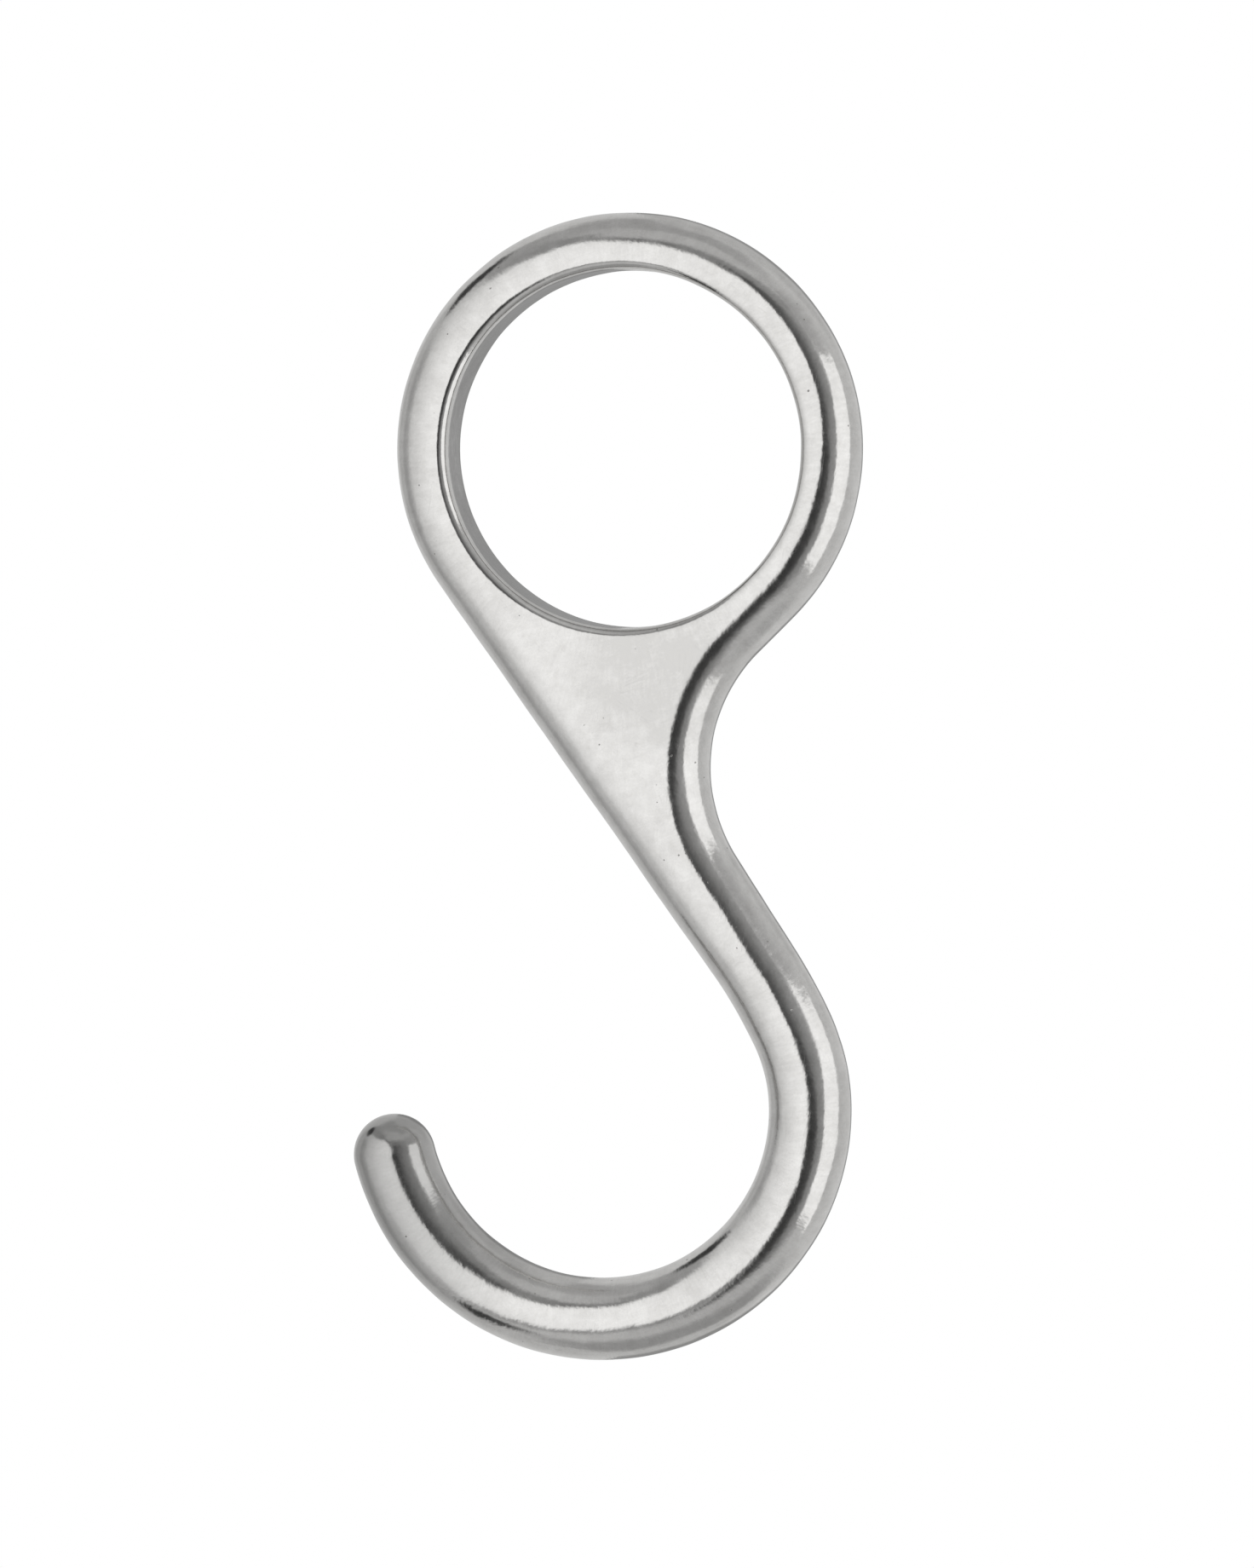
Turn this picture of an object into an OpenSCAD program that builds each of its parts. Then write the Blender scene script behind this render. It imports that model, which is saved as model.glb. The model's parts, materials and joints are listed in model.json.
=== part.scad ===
// One-piece cast metal eye hook: a closed round eye, a flat triangular web that
// narrows into a round shank, and an open round hook that ends in a domed tip.
// The outline is drawn in the XY plane with Y up, then stood up so that +Z is up
// and the bore of the eye runs along Y. The origin is the centre of the eye.
// Round bars follow the outline's core line, and the web fills the space between.

/* [Stock] */
// Diameter of the round bar
bar_d = 8; // [7.25:0.75:8.75]
// How far the web's faces lie below the crest of the bar
web_recess = 0.02; // [0.02:0.08:0.1]

/* [Eye] */
// Diameter of the bore through the eye
bore_d = 34; // [32:1:35]
// Outside diameter of the eye
eye_d = 45.2; // [44.8:0.4:45.6]
// Radius on both edges of the bore
bore_edge_r = 1.1; // [0.8:0.1:1.4]

/* [Web] */
// Slope of the web's long straight edge, in degrees below level
long_edge_slope = 54.4; // [53:0.7:54.4]
// Length of the web's long straight edge
long_edge_len = 46; // [46:1:48]
// Slope of the short straight edge below the waist, in degrees below level
short_edge_slope = 57.1; // [56.9:0.1:57.3]
// Length of the short straight edge below the waist
short_edge_len = 10.7; // [10:0.35:10.7]
// Radius of the hollow at the waist
waist_r = 15.4; // [14.9:0.5:15.4]

/* [Hook] */
// Radius of the shank's first, gentle bend, on the bar's centreline
shank_bend_r = 44.6; // [39.6:5:54.6]
// Turn of the shank's first bend after the web has run out, in degrees
shank_bend_turn = 8.1; // [7.1:1:10.1]
// Radius of the shoulder where the hook starts, on the bar's centreline
shoulder_r = 18.4; // [17.4:1:20.4]
// Turn of the shoulder, in degrees
shoulder_turn = 32.3; // [30.3:2:36.3]
// Radius of the hook's bowl, on the bar's centreline
bowl_r = 20.6; // [19.6:1:21.6]
// Turn of the bowl from the shoulder to the tip, in degrees
bowl_turn = 158.2; // [148.2:5:163.2]

/* [Hidden] */
$fn = 96;
steel = [0.72, 0.71, 0.69];
// How far cutting shapes pass through what they cut
over = 1;
// Stretches of bar stop this short of each other, inside the ball that joins them
gap = 0.05;
// Share of its radius by which the bore's edge rounding is set in from the bore and
// the face, so that it cuts both at a slight angle instead of just touching them
edge_bite = 0.98;

bar_r = bar_d / 2;
// A ball joins two stretches of bar, a few microns proud so that it closes on both
ball_r = bar_r + 0.01;
// The short edge is a touch slimmer, so that it sinks into the shank cleanly
slim_r = bar_r - 0.01;
web_t = bar_d - 2 * web_recess;
// Radius of the circle that the eye's half-round rim is centred on
rim_r = eye_d / 2 - bar_r;
// Radius of the circle that the waist's half-round edge is centred on
waist_core_r = waist_r + bar_r;

function polar(r, a) = [r * cos(a), r * sin(a)];
function heading(p, q) = atan2(q[1] - p[1], q[0] - p[0]);

// Directions square to the web's two lower edges, up and to the right
long_square = 90 - long_edge_slope;
short_square = 90 - short_edge_slope;

// The long edge leaves the rim here and meets the shank's first bend
long_top = -polar(rim_r, long_square);
long_foot = long_top + polar(long_edge_len, -long_edge_slope);
bend_centre = long_foot - polar(shank_bend_r, long_square);
// The short edge joins the same bend a little later, where the web runs out
web_end = bend_centre + polar(shank_bend_r, short_square);
waist_foot = web_end - polar(short_edge_len, -short_edge_slope);
waist_centre = waist_foot + polar(waist_core_r, short_square);

// The straight neck between the eye and the waist touches both round it
neck_square = heading([0, 0], waist_centre)
    + acos((rim_r + waist_core_r) / norm(waist_centre));
neck_top = polar(rim_r, neck_square);
neck_foot = waist_centre - polar(waist_core_r, neck_square);

// The bends follow on from each other, turning clockwise
shoulder_start = short_square - shank_bend_turn;
shoulder_centre = bend_centre + polar(shank_bend_r - shoulder_r, shoulder_start);
bowl_start = shoulder_start - shoulder_turn;
bowl_centre = shoulder_centre + polar(shoulder_r - bowl_r, bowl_start);
tip_angle = bowl_start - bowl_turn;

// Straight stretch of bar that stops short of both its ends
module bar(from, to, r = bar_r) {
    translate(from)
        rotate(heading(from, to))
            translate([gap, 0])
                rotate([0, 90, 0])
                    cylinder(r = r, h = norm(to - from) - 2 * gap);
}

// Bent stretch of bar between two angles round a centre, stopping short of both
module bend(centre, radius, low, high) {
    gap_angle = gap / radius * 180 / PI;
    translate(centre)
        rotate(low + gap_angle)
            rotate_extrude(angle = high - low - 2 * gap_angle)
                translate([radius, 0])
                    circle(r = bar_r);
}

// Ball on the bar's core line, its poles along the line, which is square to an angle
module ball(centre, radius, square) {
    translate(centre + polar(radius, square))
        rotate(square)
            rotate([90, 0, 0])
                sphere(r = ball_r);
}

// Round bar of the eye's rim, from the neck over the top to the long edge
module rim() {
    bend([0, 0], rim_r, neck_square, long_square + 180);
    ball([0, 0], rim_r, neck_square);
    ball([0, 0], rim_r, long_square + 180);
}

// Flat ring that fills the eye's rim in to the bore
module eye_face() {
    rotate_extrude()
        translate([bore_d / 2 - over, -web_t / 2])
            square([rim_r - bore_d / 2 + over, web_t]);
}

// Bar down the web's long edge
module long_edge() {
    bar(long_top, long_foot);
}

// Bar down the neck, round the waist and along the short edge
module waist_edge() {
    bar(neck_top, neck_foot);
    ball(waist_centre, waist_core_r, neck_square + 180);
    bend(waist_centre, waist_core_r, neck_square + 180, short_square + 180);
    ball(waist_centre, waist_core_r, short_square + 180);
    bar(waist_foot, web_end, slim_r);
}

// Flat sheet between the eye, the long edge and the waist
module web() {
    linear_extrude(web_t, center = true)
        difference() {
            polygon([
                [0, 0], long_top, long_foot, web_end,
                waist_foot, waist_centre, neck_foot, neck_top
            ]);
            translate(waist_centre)
                circle(r = waist_core_r);
        }
}

// Shank, shoulder and bowl of the hook, each ending in a ball; the last is the tip
module hook() {
    ball(bend_centre, shank_bend_r, long_square);
    bend(bend_centre, shank_bend_r, shoulder_start, long_square);
    ball(shoulder_centre, shoulder_r, shoulder_start);
    bend(shoulder_centre, shoulder_r, bowl_start, shoulder_start);
    ball(bowl_centre, bowl_r, bowl_start);
    bend(bowl_centre, bowl_r, tip_angle, bowl_start);
    ball(bowl_centre, bowl_r, tip_angle);
}

// Bore through the eye, with rounded edges
module bore() {
    bite = edge_bite * bore_edge_r;
    translate([0, 0, -web_t / 2 - over])
        cylinder(d = bore_d, h = web_t + 2 * over);
    for (face = [0, 1])
        mirror([0, 0, face])
            rotate_extrude()
                difference() {
                    translate([bore_d / 2 - over, web_t / 2 - bite])
                        square([over + bite, bite + over]);
                    translate([bore_d / 2 + bite, web_t / 2 - bite])
                        circle(r = bore_edge_r);
                }
}

module cast_hook() {
    color(steel)
        rotate([90, 0, 0])
            difference() {
                union() {
                    rim();
                    eye_face();
                    long_edge();
                    waist_edge();
                    hook();
                    web();
                }
                bore();
            }
}

cast_hook();
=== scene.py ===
import json
import math

import bmesh
import bpy
import numpy as np
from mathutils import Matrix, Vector, geometry, noise


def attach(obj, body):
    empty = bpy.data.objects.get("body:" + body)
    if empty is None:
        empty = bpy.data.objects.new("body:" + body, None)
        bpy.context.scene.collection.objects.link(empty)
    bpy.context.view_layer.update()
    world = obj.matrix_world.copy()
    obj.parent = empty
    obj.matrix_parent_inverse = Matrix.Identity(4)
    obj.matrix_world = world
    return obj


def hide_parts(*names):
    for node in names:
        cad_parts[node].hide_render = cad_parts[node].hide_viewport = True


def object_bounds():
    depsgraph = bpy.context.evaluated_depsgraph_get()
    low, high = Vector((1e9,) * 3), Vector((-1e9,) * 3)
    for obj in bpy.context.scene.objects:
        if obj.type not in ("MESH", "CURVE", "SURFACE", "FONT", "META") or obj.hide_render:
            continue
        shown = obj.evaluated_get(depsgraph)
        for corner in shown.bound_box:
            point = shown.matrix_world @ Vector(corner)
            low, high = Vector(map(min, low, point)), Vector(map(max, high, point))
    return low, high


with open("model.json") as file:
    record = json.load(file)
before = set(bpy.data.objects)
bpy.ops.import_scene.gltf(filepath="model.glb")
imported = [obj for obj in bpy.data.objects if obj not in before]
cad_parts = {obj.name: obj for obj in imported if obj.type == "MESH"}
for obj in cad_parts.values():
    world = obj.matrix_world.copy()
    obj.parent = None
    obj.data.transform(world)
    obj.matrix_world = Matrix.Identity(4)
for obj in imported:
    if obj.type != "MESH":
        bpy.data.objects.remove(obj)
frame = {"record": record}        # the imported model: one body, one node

cad_low, cad_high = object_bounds()

# ---------------------------------------------------------------- dimensions
# Lengths are in millimetres and angles in degrees. The outline lies in the XZ
# plane, and a direction's angle is counted from +X towards +Z. The sizes are those
# of part.scad.
MM = 0.001

BORE_R = frame["record"]["mounts"][0]["dims"]["r_mm"]
EYE_R = cad_high.z / MM
BAR_R = 4.0
RIM_R = EYE_R - BAR_R
BORE_EDGE_R = 1.1

LONG_SLOPE, LONG_LENGTH = 54.4, 46.0
SHORT_SLOPE, SHORT_LENGTH = 57.1, 10.7
WAIST_R = 15.4 + BAR_R
BEND_R, BEND_TURN = 44.6, 8.1
SHOULDER_R, SHOULDER_TURN = 18.4, 32.3
BOWL_R, BOWL_TURN = 20.6, 158.2

# Directions square to the outline where its stretches meet
LONG_SQUARE = 90 - LONG_SLOPE
SHORT_SQUARE = 90 - SHORT_SLOPE
SHOULDER_START = SHORT_SQUARE - BEND_TURN
BOWL_START = SHOULDER_START - SHOULDER_TURN
TIP_ANGLE = BOWL_START - BOWL_TURN

# Where polishing has moved the crest of the eye's rim: (outwards, middle, half width)
RIM_CREST = [(0.65, 34, 56), (-0.42, 124, 52)]

# Mesh spacing along the outline, and steps round the half-round edge
STEP = 0.32
ROUND_STEPS = 36
BORE_EDGE_STEPS = 8
BORE_WALL_STEPS = 8
BORE_STATIONS = 330
# Spacing of the points on the flat faces, and the shares of it that stay clear of
# the outline and of the bore's edge
FACE_STEP = 0.42
OUTLINE_GAP = 0.7
BORE_GAP = 0.6
# Points closer than the first are merged, and edges shorter than the second removed
MERGE_GAP = 0.004
SHORTEST_EDGE = 0.002

# Waves left by hand polishing: (wavelength, height)
WAVES = [(6.0, 0.040), (3.0, 0.024), (1.5, 0.008), (0.8, 0.003)]
WAVE_SHIFT = (3.3, 1.7)
# The surface lies this far inside the true shape on average, and at least this far,
# and the limit is rounded off over the third
MEAN_DEPTH = 0.055
LEAST_DEPTH = 0.024
DEPTH_ROUNDING = 0.02


def polar(radius, angle):
    a = math.radians(angle)
    return np.array([math.cos(a), math.sin(a)]) * radius


def angle_of(v):
    return math.degrees(math.atan2(v[1], v[0]))


# Corners of the core line, which runs BAR_R inside the outline
long_top = -polar(RIM_R, LONG_SQUARE)
long_foot = long_top + polar(LONG_LENGTH, LONG_SQUARE - 90)
bend_centre = long_foot - polar(BEND_R, LONG_SQUARE)
web_end = bend_centre + polar(BEND_R, SHORT_SQUARE)
waist_foot = web_end - polar(SHORT_LENGTH, SHORT_SQUARE - 90)
waist_centre = waist_foot + polar(WAIST_R, SHORT_SQUARE)
NECK_SQUARE = angle_of(waist_centre) + math.degrees(
    math.acos((RIM_R + WAIST_R) / np.linalg.norm(waist_centre)))
neck_top = polar(RIM_R, NECK_SQUARE)
neck_foot = waist_centre - polar(WAIST_R, NECK_SQUARE)
shoulder_centre = bend_centre + polar(BEND_R - SHOULDER_R, SHOULDER_START)
bowl_centre = shoulder_centre + polar(SHOULDER_R - BOWL_R, BOWL_START)
tip_centre = bowl_centre + polar(BOWL_R, TIP_ANGLE)


# ------------------------------------------------------------------ outline
def straight(start, end, square):
    """Stations from start up to, not including, end; each is (x, z, outward angle)."""
    n = max(2, round(np.linalg.norm(end - start) / STEP))
    return [(*(start + (end - start) * i / n), square) for i in range(n)]


def hump(angle, middle, half_width):
    """Smooth rise from 0 to 1 and back, centred on an angle."""
    off = min(abs(angle - middle) / half_width, 1)
    return math.cos(off * math.pi / 2) ** 2


def rim_crest(angle):
    """How far polishing has moved the rim's crest outwards, at an angle round the eye."""
    return sum(out * hump(angle, middle, half_width) for out, middle, half_width in RIM_CREST)


def arc(centre, radius, first, last, outward):
    """Stations round a centre; outward is 1 if the metal lies inside, -1 if outside."""
    length = math.radians(abs(last - first)) * (radius + BAR_R)
    n = max(3, round(length / STEP))
    turned = 0 if outward > 0 else 180
    return [(*(centre + polar(radius, a)), a + turned)
            for a in np.linspace(first, last, n, endpoint=False)]


def outline():
    """The closed core line, from the rim down the long edge, round the tip and back.

    Each station is (x, z, outward angle, reach of the edge beyond the core line). The
    second result lists the stations that bound the web's flat face.
    """
    eye = np.zeros(2)
    side_a = (
        straight(long_top, long_foot, LONG_SQUARE + 180)
        + arc(bend_centre, BEND_R, LONG_SQUARE, SHORT_SQUARE, -1)
    )
    bar_in = (
        arc(bend_centre, BEND_R, SHORT_SQUARE, SHOULDER_START, -1)
        + arc(shoulder_centre, SHOULDER_R, SHOULDER_START, BOWL_START, -1)
        + arc(bowl_centre, BOWL_R, BOWL_START, TIP_ANGLE, -1)
    )
    dome = arc(tip_centre, 0, TIP_ANGLE - 180, TIP_ANGLE, 1)
    bar_out = [(x, z, a - 180) for x, z, a in reversed(bar_in[1:])]
    bar_out = [(*tip_centre, TIP_ANGLE)] + bar_out
    side_b = (
        straight(web_end, waist_foot, SHORT_SQUARE)
        + arc(waist_centre, WAIST_R, SHORT_SQUARE + 180, NECK_SQUARE + 180, -1)
        + straight(neck_foot, neck_top, NECK_SQUARE)
    )
    rim = arc(eye, RIM_R, NECK_SQUARE, LONG_SQUARE + 180, 1)
    stations = [(*s, BAR_R) for s in side_a + bar_in + dome + bar_out + side_b]
    for _, _, a in rim:
        crest = rim_crest(a)
        stations.append((*polar(RIM_R + crest, a), a, BAR_R - crest))
    web_loop = list(range(len(side_a) + 1)) + list(
        range(len(stations) - len(rim) - len(side_b) + 1, len(stations)))
    return np.array(stations), web_loop


# ---------------------------------------------------------------- the casting
def round_edge(stations):
    """Half-round edge swept along the closed outline: points and normals, by station."""
    phi = np.linspace(-math.pi / 2, math.pi / 2, ROUND_STEPS + 1)
    points, normals = [], []
    for x, z, a, reach in stations:
        out = np.array([math.cos(math.radians(a)), 0, math.sin(math.radians(a))])
        along = np.cos(phi)[:, None] * out
        up = np.sin(phi)[:, None] * np.array([0, 1, 0])
        points.append(np.array([x, 0, z]) + reach * along + BAR_R * up)
        n = along / reach + up / BAR_R
        normals.append(n / np.linalg.norm(n, axis=1)[:, None])
    return np.array(points), np.array(normals)


def bore_profile():
    """Section of the bore from the front face to the back: (radius, y, n_r, n_y)."""
    rows = []
    quarter = np.linspace(0, math.pi / 2, BORE_EDGE_STEPS + 1)
    edge_r, edge_y = BORE_R + BORE_EDGE_R, BAR_R - BORE_EDGE_R
    for t in quarter:
        s, c = math.sin(t), math.cos(t)
        rows.append((edge_r - BORE_EDGE_R * s, -edge_y - BORE_EDGE_R * c, -s, -c))
    for y in np.linspace(-edge_y, edge_y, BORE_WALL_STEPS + 1)[1:-1]:
        rows.append((BORE_R, y, -1, 0))
    for t in quarter[::-1]:
        s, c = math.sin(t), math.cos(t)
        rows.append((edge_r - BORE_EDGE_R * s, edge_y + BORE_EDGE_R * c, -s, c))
    return rows


def bore_surface():
    """The bore and its rounded edges, swept once round the eye."""
    angles = np.linspace(0, 2 * math.pi, BORE_STATIONS, endpoint=False)
    points, normals = [], []
    for a in angles:
        c, s = math.cos(a), math.sin(a)
        points.append([(r * c, y, r * s) for r, y, _, _ in bore_profile()])
        normals.append([(nr * c, ny, nr * s) for _, _, nr, ny in bore_profile()])
    return np.array(points), np.array(normals)


def inside(point, loop):
    """Is a point inside a closed loop of 2D points?"""
    x, z = point
    x1, z1 = loop[:, 0], loop[:, 1]
    x2, z2 = np.roll(x1, -1), np.roll(z1, -1)
    crosses = (z1 > z) != (z2 > z)
    at = x1 + (z - z1) * (x2 - x1) / np.where(z2 == z1, 1, z2 - z1)
    return bool(np.count_nonzero(crosses & (x < at)) % 2)


def face_mesh(outer, inner):
    """Fills the flat face between two loops of 2D points: extra points and triangles."""
    low, high = outer.min(0), outer.max(0)
    edge_r = BORE_R + BORE_EDGE_R
    grid = []
    row_height = FACE_STEP * math.sqrt(3) / 2
    for j, z in enumerate(np.arange(low[1], high[1], row_height)):
        for x in np.arange(low[0] + FACE_STEP / 2 * (j % 2), high[0], FACE_STEP):
            p = np.array([x, z])
            clear = np.linalg.norm(outer - p, axis=1).min() > OUTLINE_GAP * FACE_STEP
            clear = clear and np.linalg.norm(p) - edge_r > BORE_GAP * FACE_STEP
            if clear and inside(p, outer):
                grid.append(p)
    points = np.concatenate([outer, inner, np.array(grid)])
    n, m = len(outer), len(inner)
    edges = [(i, (i + 1) % n) for i in range(n)]
    edges += [(n + i, n + (i + 1) % m) for i in range(m)]
    made = geometry.delaunay_2d_cdt([Vector(p) for p in points], edges, [], 1, 1e-7)
    coords, triangles, sources = made[0], made[2], made[3]
    source = [s[0] for s in sources]
    kept = []
    for t in triangles:
        centre = sum((coords[i] for i in t), Vector((0, 0))) / 3
        if centre.length > edge_r and inside(centre, outer):
            kept.append([source[i] for i in t])
    return np.array(grid), kept


def waviness(p):
    """How far the hand-polished surface lies outside the true shape, in mm."""
    q = Vector(p)
    wave = sum(height * noise.noise(q / length + Vector((length, *WAVE_SHIFT)))
               for length, height in WAVES)
    spare = MEAN_DEPTH - LEAST_DEPTH - wave
    return -LEAST_DEPTH - (spare + math.hypot(spare, DEPTH_ROUNDING)) / 2


def sweep_faces(first, stations, rows):
    """Quads between neighbouring stations of a closed sweep."""
    faces = []
    for i in range(stations):
        a, b = first + i * rows, first + (i + 1) % stations * rows
        faces += [(a + j, b + j, b + j + 1, a + j + 1) for j in range(rows - 1)]
    return faces


def clean(mesh):
    """Merges doubled points, removes slivers, turns the faces outwards and smooths."""
    work = bmesh.new()
    work.from_mesh(mesh)
    bmesh.ops.remove_doubles(work, verts=work.verts, dist=MERGE_GAP * MM)
    bmesh.ops.dissolve_degenerate(work, edges=work.edges, dist=SHORTEST_EDGE * MM)
    bmesh.ops.recalc_face_normals(work, faces=work.faces)
    work.to_mesh(mesh)
    work.free()
    mesh.polygons.foreach_set("use_smooth", [True] * len(mesh.polygons))


def casting_mesh():
    """The whole casting as one closed mesh, in metres."""
    stations, web_loop = outline()
    edge_p, edge_n = round_edge(stations)
    bore_p, bore_n = bore_surface()
    count, across = len(stations), ROUND_STEPS + 1
    rows = bore_p.shape[1]
    points = list(edge_p.reshape(-1, 3)) + list(bore_p.reshape(-1, 3))
    normals = list(edge_n.reshape(-1, 3)) + list(bore_n.reshape(-1, 3))
    first_bore = count * across
    faces = sweep_faces(0, count, across) + sweep_faces(first_bore, BORE_STATIONS, rows)

    # The flat faces, front and back, share their rims with the sweeps
    loop = web_loop + list(range(web_loop[-1] + 1, count))
    outer = stations[loop][:, :2]
    inner = bore_p[:, 0][:, [0, 2]]
    grid, triangles = face_mesh(outer, inner)
    for side, j, k in ((-1, 0, 0), (1, ROUND_STEPS, rows - 1)):
        index = [i * across + j for i in loop]
        index += [first_bore + i * rows + k for i in range(BORE_STATIONS)]
        index += list(range(len(points), len(points) + len(grid)))
        points += [np.array([x, side * BAR_R, z]) for x, z in grid]
        normals += [np.array([0.0, side, 0.0])] * len(grid)
        faces += [tuple(index[i] for i in t) for t in triangles]

    moved = [p + np.array(n) * waviness(p) for p, n in zip(points, normals)]
    mesh = bpy.data.meshes.new("polished_casting")
    mesh.from_pydata([tuple(p * MM) for p in moved], [], faces)
    clean(mesh)
    return mesh


# ------------------------------------------------------------------ materials
# Colours of the metal where it is cloudiest and brightest, and of what darkens it
CLOUDY = (0.595, 0.587, 0.573, 1)
BRIGHT = (0.725, 0.718, 0.704, 1)
# Colour of the painted shade that darkens the hook's tip
PAINTED_TIP_SHADE = (0.30, 0.30, 0.295, 1)
SCRATCHED = (0.36, 0.35, 0.34, 1)
PITTED = (0.16, 0.15, 0.14, 1)

# Shares of the fields that cloud the metal, and the range of their sum that is used
CLOUDING = {"haze": 0.28, "cloud": 0.26, "smear": 0.16, "grain": 0.16, "marks": 0.14}
CLOUDING_RANGE = (0.385, 0.595)

# Duller metal under the eye, and dull metal with painted shade at the tip: its middle
# in metres, the distances between which it fades in mm, and how much it darkens
DULL_SPOT = (0.004, -0.004, -0.0215), (2.0, 10.0), 0.55
DULL_AND_SHADED_TIP = (-0.022, 0.0, -0.068), (7.0, 21.0), 0.52

# Hairlines as (turn, spacing in mm, offset), and how much they darken
HAIRLINES = [(22, 0.5, 1), (-38, 0.6, 5), (81, 0.55, 9)]
HAIRLINE_SHADE = 0.14
# Pits as (spacing in mm, share of cells, radius in cells, extra where they crowd)
PITS = [(1.5, 0.05, 0.10, 0.12), (0.7, 0.02, 0.13, 0.13)]
PIT_SHADE = 0.6

# Roughness of the polished metal, and what dull metal and pits add to it
ROUGHNESS = (0.10, 0.15)
DULL_ROUGHNESS = 0.03
PIT_ROUGHNESS = 0.25

# Heights of the relief in mm, and those of the polishing marks above and in the hook
RELIEF = {
    "ripple": 0.011, "grain": 0.0022, "fine": 0.0008, "scratches": -0.0008, "holes": -0.03}
MARK_RELIEF = (0.0012, 0.004)
# Spacing of the polishing marks round the eye and round the bowl, in mm
MARK_SPACING = (0.32, 0.26)
# Heights between which the marks change over, in mm
HOOK_FROM = (-50, -40)


class Tree:
    """Short names for adding and linking shader nodes."""

    def __init__(self, tree):
        self.tree = tree
        self.nodes = tree.nodes
        self.nodes.clear()

    def add(self, kind, inputs=None, **settings):
        node = self.nodes.new(kind)
        for name, value in settings.items():
            setattr(node, name, value)
        for name, value in (inputs or {}).items():
            self.put(node.inputs[name], value)
        return node

    def put(self, socket, value):
        if isinstance(value, bpy.types.NodeSocket):
            self.tree.links.new(value, socket)
        else:
            socket.default_value = value

    def math(self, operation, a, b=0.0):
        return self.add("ShaderNodeMath", {0: a, 1: b}, operation=operation).outputs[0]

    def ramp(self, value, low, high, to_low=0.0, to_high=1.0, smooth=True):
        node = self.add("ShaderNodeMapRange", {
            "Value": value, "From Min": low, "From Max": high,
            "To Min": to_low, "To Max": to_high})
        node.interpolation_type = "SMOOTHSTEP" if smooth else "LINEAR"
        return node.outputs["Result"]

    def total(self, fields, shares):
        """Sum of the named fields, each times its share."""
        value = 0.0
        for name, share in shares.items():
            value = self.math("ADD", value, self.math("MULTIPLY", fields[name], share))
        return value

    def mix(self, factor, first, second):
        """Mix of two numbers."""
        return self.add("ShaderNodeMix", {"Factor": factor, 2: first, 3: second},
                        data_type="FLOAT").outputs[0]

    def blend(self, factor, first, second):
        """Mix of two colours."""
        return self.add("ShaderNodeMix", {"Factor": factor, 6: first, 7: second},
                        data_type="RGBA").outputs[2]


def noise_field(t, where, size_mm, detail=2.0, roughness=0.5, turn=0.0, offset=0.0):
    """Noise from 0 to 1; size_mm is one size, or one along and one across the grain."""
    along, across = size_mm if isinstance(size_mm, tuple) else (size_mm, size_mm)
    turned = t.add("ShaderNodeVectorRotate", {
        "Vector": where, "Angle": math.radians(turn)}, rotation_type="Y_AXIS").outputs[0]
    scaled = t.add("ShaderNodeVectorMath", {
        0: turned, 1: (1 / (along * MM), 1 / (across * MM), 1 / (across * MM))},
        operation="MULTIPLY").outputs[0]
    moved = t.add("ShaderNodeVectorMath", {0: scaled, 1: (offset, 0, 2 * offset)},
                  operation="ADD").outputs[0]
    return t.add("ShaderNodeTexNoise", {
        "Vector": moved, "Scale": 1.0, "Detail": detail, "Roughness": roughness,
    }).outputs["Fac"]


def length_of(t, u, v):
    """Length of a 2D vector."""
    return t.math("SQRT", t.math("ADD", t.math("MULTIPLY", u, u), t.math("MULTIPLY", v, v)))


def brush_marks(t, where, centre, spacing_mm):
    """Fine polishing marks that run across a bar bent round a centre, from 0 to 1."""
    x, y, z = t.add("ShaderNodeSeparateXYZ", {0: where}).outputs
    dx = t.math("SUBTRACT", x, float(centre[0]) * MM)
    dz = t.math("SUBTRACT", z, float(centre[1]) * MM)
    round_it = t.math("MULTIPLY", t.math("ARCTAN2", dx, dz), BOWL_R / spacing_mm)
    radius = length_of(t, dx, dz)
    lines = t.add("ShaderNodeCombineXYZ", {
        0: round_it, 1: t.math("MULTIPLY", radius, 1 / (2.0 * MM)),
        2: t.math("MULTIPLY", y, 1 / (3.0 * MM))}).outputs[0]
    return t.add("ShaderNodeTexNoise", {
        "Vector": lines, "Scale": 1.0, "Detail": 3.0, "Roughness": 0.6}).outputs["Fac"]


def hairlines(t, where, turn, spacing, offset):
    """Fine straight scratches, 1 in the middle of each and 0 elsewhere."""
    line = noise_field(t, where, (7.0, spacing), 1.0, 0.5, turn, offset)
    near = t.math("ABSOLUTE", t.math("SUBTRACT", line, 0.5))
    patchy = noise_field(t, where, 2.6, 1.0, 0.5, 0, offset + 3)
    return t.math("MULTIPLY", t.ramp(near, 0.0, 0.012, 1.0, 0.0),
                  t.ramp(patchy, 0.52, 0.66))


def pits(t, where, spacing_mm, share, radius, crowded):
    """Casting pits, 1 inside each; radius is in cells, and they crowd in some places."""
    bent = noise_field(t, where, 0.25, 2.0)
    pushed = t.add("ShaderNodeVectorMath", {
        0: where, 1: t.math("MULTIPLY", bent, 0.22 * MM)}, operation="ADD").outputs[0]
    cells = t.add("ShaderNodeTexVoronoi", {
        "Vector": pushed, "Scale": 1 / (spacing_mm * MM)})
    chance = t.add("ShaderNodeSeparateColor", {"Color": cells.outputs["Color"]}).outputs[0]
    crowd = noise_field(t, where, 9.0, 1.0, 0.5, 0, spacing_mm)
    chance = t.math("ADD", chance, t.ramp(crowd, 0.45, 0.68, 0.0, crowded))
    size = t.ramp(chance, 1 - share, 1.0, 0.0, radius, smooth=False)
    return t.ramp(t.math("SUBTRACT", size, cells.outputs["Distance"]), 0.0, 0.03)


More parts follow.
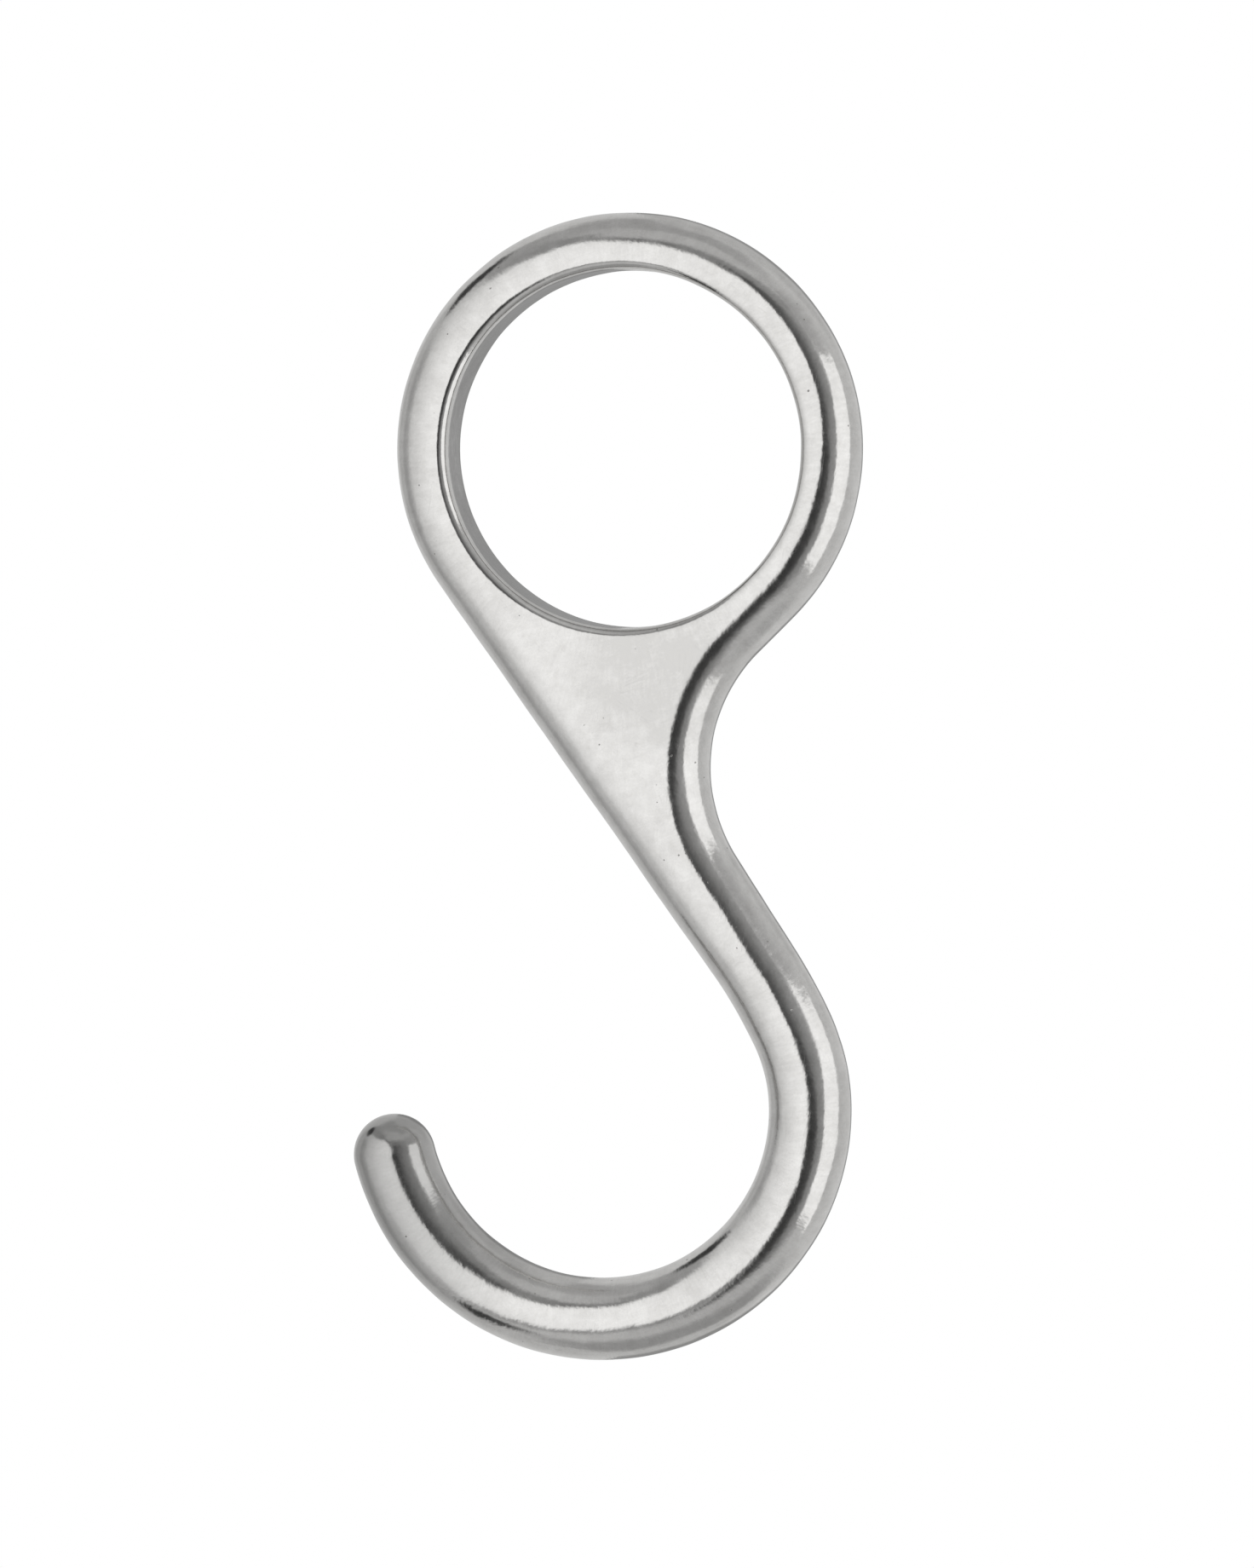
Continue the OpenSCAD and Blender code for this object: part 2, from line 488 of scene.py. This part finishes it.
def largest(t, values):
    """The largest of several fields."""
    most = values[0]
    for value in values[1:]:
        most = t.math("MAXIMUM", most, value)
    return most


def round_patch(t, where, middle, fade):
    """A round patch, 1 at its middle and 0 outside: duller metal, and at the tip also painted
    shade.
    """
    away = t.add("ShaderNodeVectorMath", {0: where, 1: middle}, operation="DISTANCE")
    return t.ramp(away.outputs["Value"], fade[0] * MM, fade[1] * MM, 1.0, 0.0)


def metal_fields(t, where):
    """Everything that varies over the metal, by name."""
    height = t.add("ShaderNodeSeparateXYZ", {0: where}).outputs[2]
    in_hook = t.ramp(height, HOOK_FROM[0] * MM, HOOK_FROM[1] * MM, 1.0, 0.0)
    return {
        "cloud": noise_field(t, where, 5.0, 2.0, 0.55),
        "haze": noise_field(t, where, 1.4, 3.0, 0.6),
        "smear": noise_field(t, where, (1.9, 0.55), 3.0, 0.65, 14),
        "grain": noise_field(t, where, 0.20, 3.0, 0.7),
        "fine": noise_field(t, where, 0.09, 1.0),
        "ripple": noise_field(t, where, 0.55, 1.0),
        "in_hook": in_hook,
        "marks": t.mix(in_hook, brush_marks(t, where, (0, 0), MARK_SPACING[0]),
                       brush_marks(t, where, bowl_centre, MARK_SPACING[1])),
        "scratches": largest(t, [hairlines(t, where, *line) for line in HAIRLINES]),
        "holes": largest(t, [pits(t, where, *kind) for kind in PITS]),
        "dull": round_patch(t, where, *DULL_SPOT[:2]),
        # The tip's patch marks dull metal and painted shade
        "dull_and_shaded_tip": round_patch(t, where, *DULL_AND_SHADED_TIP[:2]),
    }


def metal_colour(t, fields):
    """Cloudy metal, darkened at the tip by painted shade, and darker in the scratches and in
    the pits.
    """
    tone = t.ramp(t.total(fields, CLOUDING), *CLOUDING_RANGE, 0.0, 1.0, smooth=False)
    tone = t.math("SUBTRACT", tone, t.math("MULTIPLY", fields["dull"], DULL_SPOT[2]))
    colour = t.blend(tone, CLOUDY, BRIGHT)
    # The tip's darkening is painted shade
    for name, share, shade in (
            ("dull_and_shaded_tip", DULL_AND_SHADED_TIP[2], PAINTED_TIP_SHADE),
            ("scratches", HAIRLINE_SHADE, SCRATCHED),
            ("holes", PIT_SHADE, PITTED)):
        colour = t.blend(t.math("MULTIPLY", fields[name], share), colour, shade)
    return colour


def metal_roughness(t, fields):
    rough = t.ramp(fields["haze"], 0.25, 0.75, *ROUGHNESS)
    dull = t.math("MAXIMUM", fields["dull"], fields["dull_and_shaded_tip"])
    rough = t.math("ADD", rough, t.math("MULTIPLY", dull, DULL_ROUGHNESS))
    return t.math("ADD", rough, t.math("MULTIPLY", fields["holes"], PIT_ROUGHNESS))


def metal_normal(t, fields):
    mark_height = t.ramp(fields["in_hook"], 0, 1, *MARK_RELIEF)
    relief = t.math("ADD", t.total(fields, RELIEF),
                    t.math("MULTIPLY", fields["marks"], mark_height))
    return t.add("ShaderNodeBump", {
        "Strength": 1.0, "Distance": MM, "Height": relief}).outputs["Normal"]


def polished_metal():
    """Hand-polished cast steel: bright and a little cloudy, with hairlines and pits."""
    material = bpy.data.materials.new("polished_cast_steel")
    material.use_nodes = True
    t = Tree(material.node_tree)
    fields = metal_fields(t, t.add("ShaderNodeTexCoord").outputs["Object"])
    shader = t.add("ShaderNodeBsdfPrincipled", {
        "Base Color": metal_colour(t, fields), "Metallic": 1.0,
        "Roughness": metal_roughness(t, fields), "Normal": metal_normal(t, fields)})
    out = t.add("ShaderNodeOutputMaterial")
    t.tree.links.new(shader.outputs[0], out.inputs["Surface"])
    return material


def floor_material():
    """Pale grey below the hook, fading into the white backdrop further out."""
    material = bpy.data.materials.new("pale_floor")
    material.use_nodes = True
    t = Tree(material.node_tree)
    where = t.add("ShaderNodeTexCoord").outputs["Object"]
    away = t.add("ShaderNodeVectorMath", {0: where}, operation="LENGTH").outputs["Value"]
    tone = t.ramp(away, FLOOR_FADE[0] * MM, FLOOR_FADE[1] * MM, FLOOR_TONE, 1.0)
    glow = t.add("ShaderNodeEmission", {"Color": tone, "Strength": 1.0})
    out = t.add("ShaderNodeOutputMaterial")
    t.tree.links.new(glow.outputs[0], out.inputs["Surface"])
    return material


# --------------------------------------------------------------------- studio
CAMERA_AZIMUTH = 10.0
CAMERA_ELEVATION = 2.6
CAMERA_DISTANCE = 700.0
# Height of the picture at the object, and the eye's place above its centre
PICTURE_HEIGHT = 149.8
EYE_ABOVE_CENTRE = 32.0
EYE_RIGHT_OF_CENTRE = 0.2
SENSOR_WIDTH = 36.0

# The floor, and the distances between which its tone fades into the white backdrop
FLOOR_DROP = 210.0
FLOOR_R = 1200.0
FLOOR_SIDES = 96
FLOOR_TONE = 0.93
FLOOR_FADE = (150.0, 1000.0)

# Elevation and brightness of the bare tent, at its bottom and at its top
TENT_BOTTOM = (-60, 0.38)
TENT_TOP = (70, 0.44)


def view_axes():
    """The camera's right, up and backward directions."""
    a, e = math.radians(CAMERA_AZIMUTH), math.radians(CAMERA_ELEVATION)
    back = Vector((math.sin(a) * math.cos(e), -math.cos(a) * math.cos(e), math.sin(e)))
    right = Vector((math.cos(a), math.sin(a), 0))
    return right, back.cross(right), back


def add_camera():
    right, up, back = view_axes()
    data = bpy.data.cameras.new("camera")
    data.sensor_width = SENSOR_WIDTH
    data.lens = data.sensor_width * CAMERA_DISTANCE / PICTURE_HEIGHT
    data.clip_start, data.clip_end = 0.01, 20.0
    camera = bpy.data.objects.new("camera", data)
    bpy.context.scene.collection.objects.link(camera)
    aim = -right * EYE_RIGHT_OF_CENTRE - up * EYE_ABOVE_CENTRE
    camera.location = (aim + back * CAMERA_DISTANCE) * MM
    camera.rotation_mode = "QUATERNION"
    camera.rotation_quaternion = (-back).to_track_quat("-Z", "Y")
    bpy.context.scene.camera = camera


def add_floor():
    """Plain round floor well below the hanging hook, out of the hook's reflections."""
    turns = [2 * math.pi * i / FLOOR_SIDES for i in range(FLOOR_SIDES)]
    rim = [(FLOOR_R * MM * math.cos(a), FLOOR_R * MM * math.sin(a), 0) for a in turns]
    mesh = bpy.data.meshes.new("floor")
    mesh.from_pydata(rim, [], [tuple(range(FLOOR_SIDES))])
    floor = bpy.data.objects.new("floor", mesh)
    floor.location.z = cad_low.z - FLOOR_DROP * MM
    bpy.context.scene.collection.objects.link(floor)
    floor.data.materials.append(floor_material())
    floor.visible_glossy = False
    floor.visible_diffuse = False


# The light tent round the hook, painted back to front. Each patch has a shape, its
# azimuths and elevations, the softness of its sides and its ends, its slant (how far
# it is turned clockwise, as a slope) and its brightness at its left and right.
# Azimuth 0 is towards the camera and grows to its right; the angles are in degrees.
TENT = [
    ("box", (-400, -106), (-78, -20), 20, 16, 0.0, (0.62, 0.62)),  # rear table, left
    ("box", (114, 400), (-78, -20), 20, 16, 0.0, (0.62, 0.62)),    # rear table, right
    ("box", (-70, 44), (-60, -30), 24, 16, 0.0, (0.62, 0.56)),     # front of the table
    ("box", (-400, 400), (-34, 44), 10, 16, 0.0, (0.50, 0.50)),    # walls
    ("box", (20, 165), (-52, 62), 24, 16, 0.0, (0.55, 0.74)),      # right wall
    ("box", (-400, -126), (-52, 60), 24, 20, 0.0, (0.70, 0.68)),   # rear left corner
    ("box", (118, 400), (20, 80), 20, 20, 0.0, (0.58, 0.58)),      # rear roof, right
    ("box", (154, 400), (-50, 30), 12, 16, 0.0, (0.33, 0.33)),     # behind the hook
    ("box", (-64, 30), (46, 72), 24, 12, 0.0, (0.52, 0.60)),       # roof over the door
    ("box", (-45, 42), (33, 44), 24, 8, 0.0, (0.28, 0.36)),        # seam over the door
    ("oval", (-144, 2), (-47, 55), 9, 9, 0.0, (0.56, 0.12)),       # window frame
    ("oval", (-140, -3), (-43, 50), 7, 7, 0.0, (0.52, 1.20)),      # window
    ("box", (-128, -40), (41, 58), 16, 8, 0.0, (0.42, 0.32)),      # blind over it
    ("box", (-140, -68), (-70, -24), 30, 20, 0.0, (0.58, 0.62)),   # blind under it
    ("box", (-116, -92), (-48, 24), 16, 12, 0.0, (0.40, 0.50)),    # window bar
    ("box", (-5, 40), (-36, 33), 3, 12, 0.0, (0.09, 0.38)),        # dark doorway
    ("oval", (-7, 19), (-28, 3), 10, 10, 0.0, (0.04, 0.08)),       # camera in it
    ("box", (41, 87), (-36, 40), 3, 2, 0.24, (1.22, 1.20)),        # white panel
    ("box", (42, 110), (28, 50), 8, 4, 0.0, (0.46, 0.66)),         # wall over it
    ("oval", (-132, -104), (30, 48), 6, 6, 0.0, (0.05, 0.05)),     # lamp stand
    ("oval", (-106, -50), (-58, -48), 4, 4, 0.0, (0.03, 0.06)),    # table edge
]


def tent_patch(t, shape, azimuth, elevation, patch):
    """How much of a patch covers each direction, and how bright it is there."""
    (left, right), (bottom, top), side_soft, end_soft, slant, bright = patch
    across, up = azimuth, elevation
    if slant:
        across = t.math("SUBTRACT", azimuth, t.math("MULTIPLY", elevation, slant))
        from_middle = t.math("SUBTRACT", azimuth, (left + right) / 2)
        up = t.math("ADD", elevation, t.math("MULTIPLY", from_middle, slant))
    glow = t.ramp(across, left, right, bright[0], bright[1])
    if shape == "box":
        cover = None
        for value, low, high, soft in (
                (across, left, right, side_soft), (up, bottom, top, end_soft)):
            band = t.math(
                "MULTIPLY",
                t.ramp(value, low - soft / 2, low + soft / 2),
                t.ramp(value, high - soft / 2, high + soft / 2, 1.0, 0.0))
            cover = band if cover is None else t.math("MULTIPLY", cover, band)
        return cover, glow
    half_width, half_height = (right - left) / 2, (top - bottom) / 2
    u = t.math("DIVIDE", t.math("SUBTRACT", across, left + half_width), half_width)
    v = t.math("DIVIDE", t.math("SUBTRACT", up, bottom + half_height), half_height)
    reach = length_of(t, u, v)
    soft = side_soft / min(half_width, half_height)
    return t.ramp(reach, 1 - soft / 2, 1 + soft / 2, 1.0, 0.0), glow


def add_tent():
    """World light: a pale tent with a window on the left and a panel on the right."""
    world = bpy.data.worlds.new("light_tent")
    bpy.context.scene.world = world
    world.use_nodes = True
    t = Tree(world.node_tree)
    direction = t.add("ShaderNodeTexCoord").outputs["Generated"]
    turned = t.add("ShaderNodeVectorRotate", {
        "Vector": direction, "Angle": -math.radians(CAMERA_AZIMUTH)},
        rotation_type="Z_AXIS").outputs[0]
    x, y, z = t.add("ShaderNodeSeparateXYZ", {0: turned}).outputs
    to_degrees = 180 / math.pi
    azimuth = t.math("MULTIPLY", t.math("ARCTAN2", x, t.math("MULTIPLY", y, -1.0)), to_degrees)
    elevation = t.math("MULTIPLY", t.math("ARCSINE", z), to_degrees)

    light = t.ramp(elevation, TENT_BOTTOM[0], TENT_TOP[0], TENT_BOTTOM[1], TENT_TOP[1])
    for shape, *patch in TENT:
        cover, glow = tent_patch(t, shape, azimuth, elevation, patch)
        light = t.mix(cover, light, glow)
    # The camera sees the plain white backdrop behind the tent's opening
    seen = t.add("ShaderNodeLightPath").outputs["Is Camera Ray"]
    light = t.mix(seen, light, 1.0)
    glow = t.add("ShaderNodeBackground", {"Color": (1, 1, 1, 1), "Strength": light})
    out = t.add("ShaderNodeOutputWorld")
    t.tree.links.new(glow.outputs[0], out.inputs["Surface"])


# ----------------------------------------------------------------------- build
def add_casting():
    casting = bpy.data.objects.new("polished_casting", casting_mesh())
    bpy.context.scene.collection.objects.link(casting)
    casting.data.materials.append(polished_metal())
    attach(casting, "root")
    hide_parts("cast_hook")


bpy.context.scene.view_settings.view_transform = "Standard"
add_camera()
add_floor()
add_tent()
add_casting()
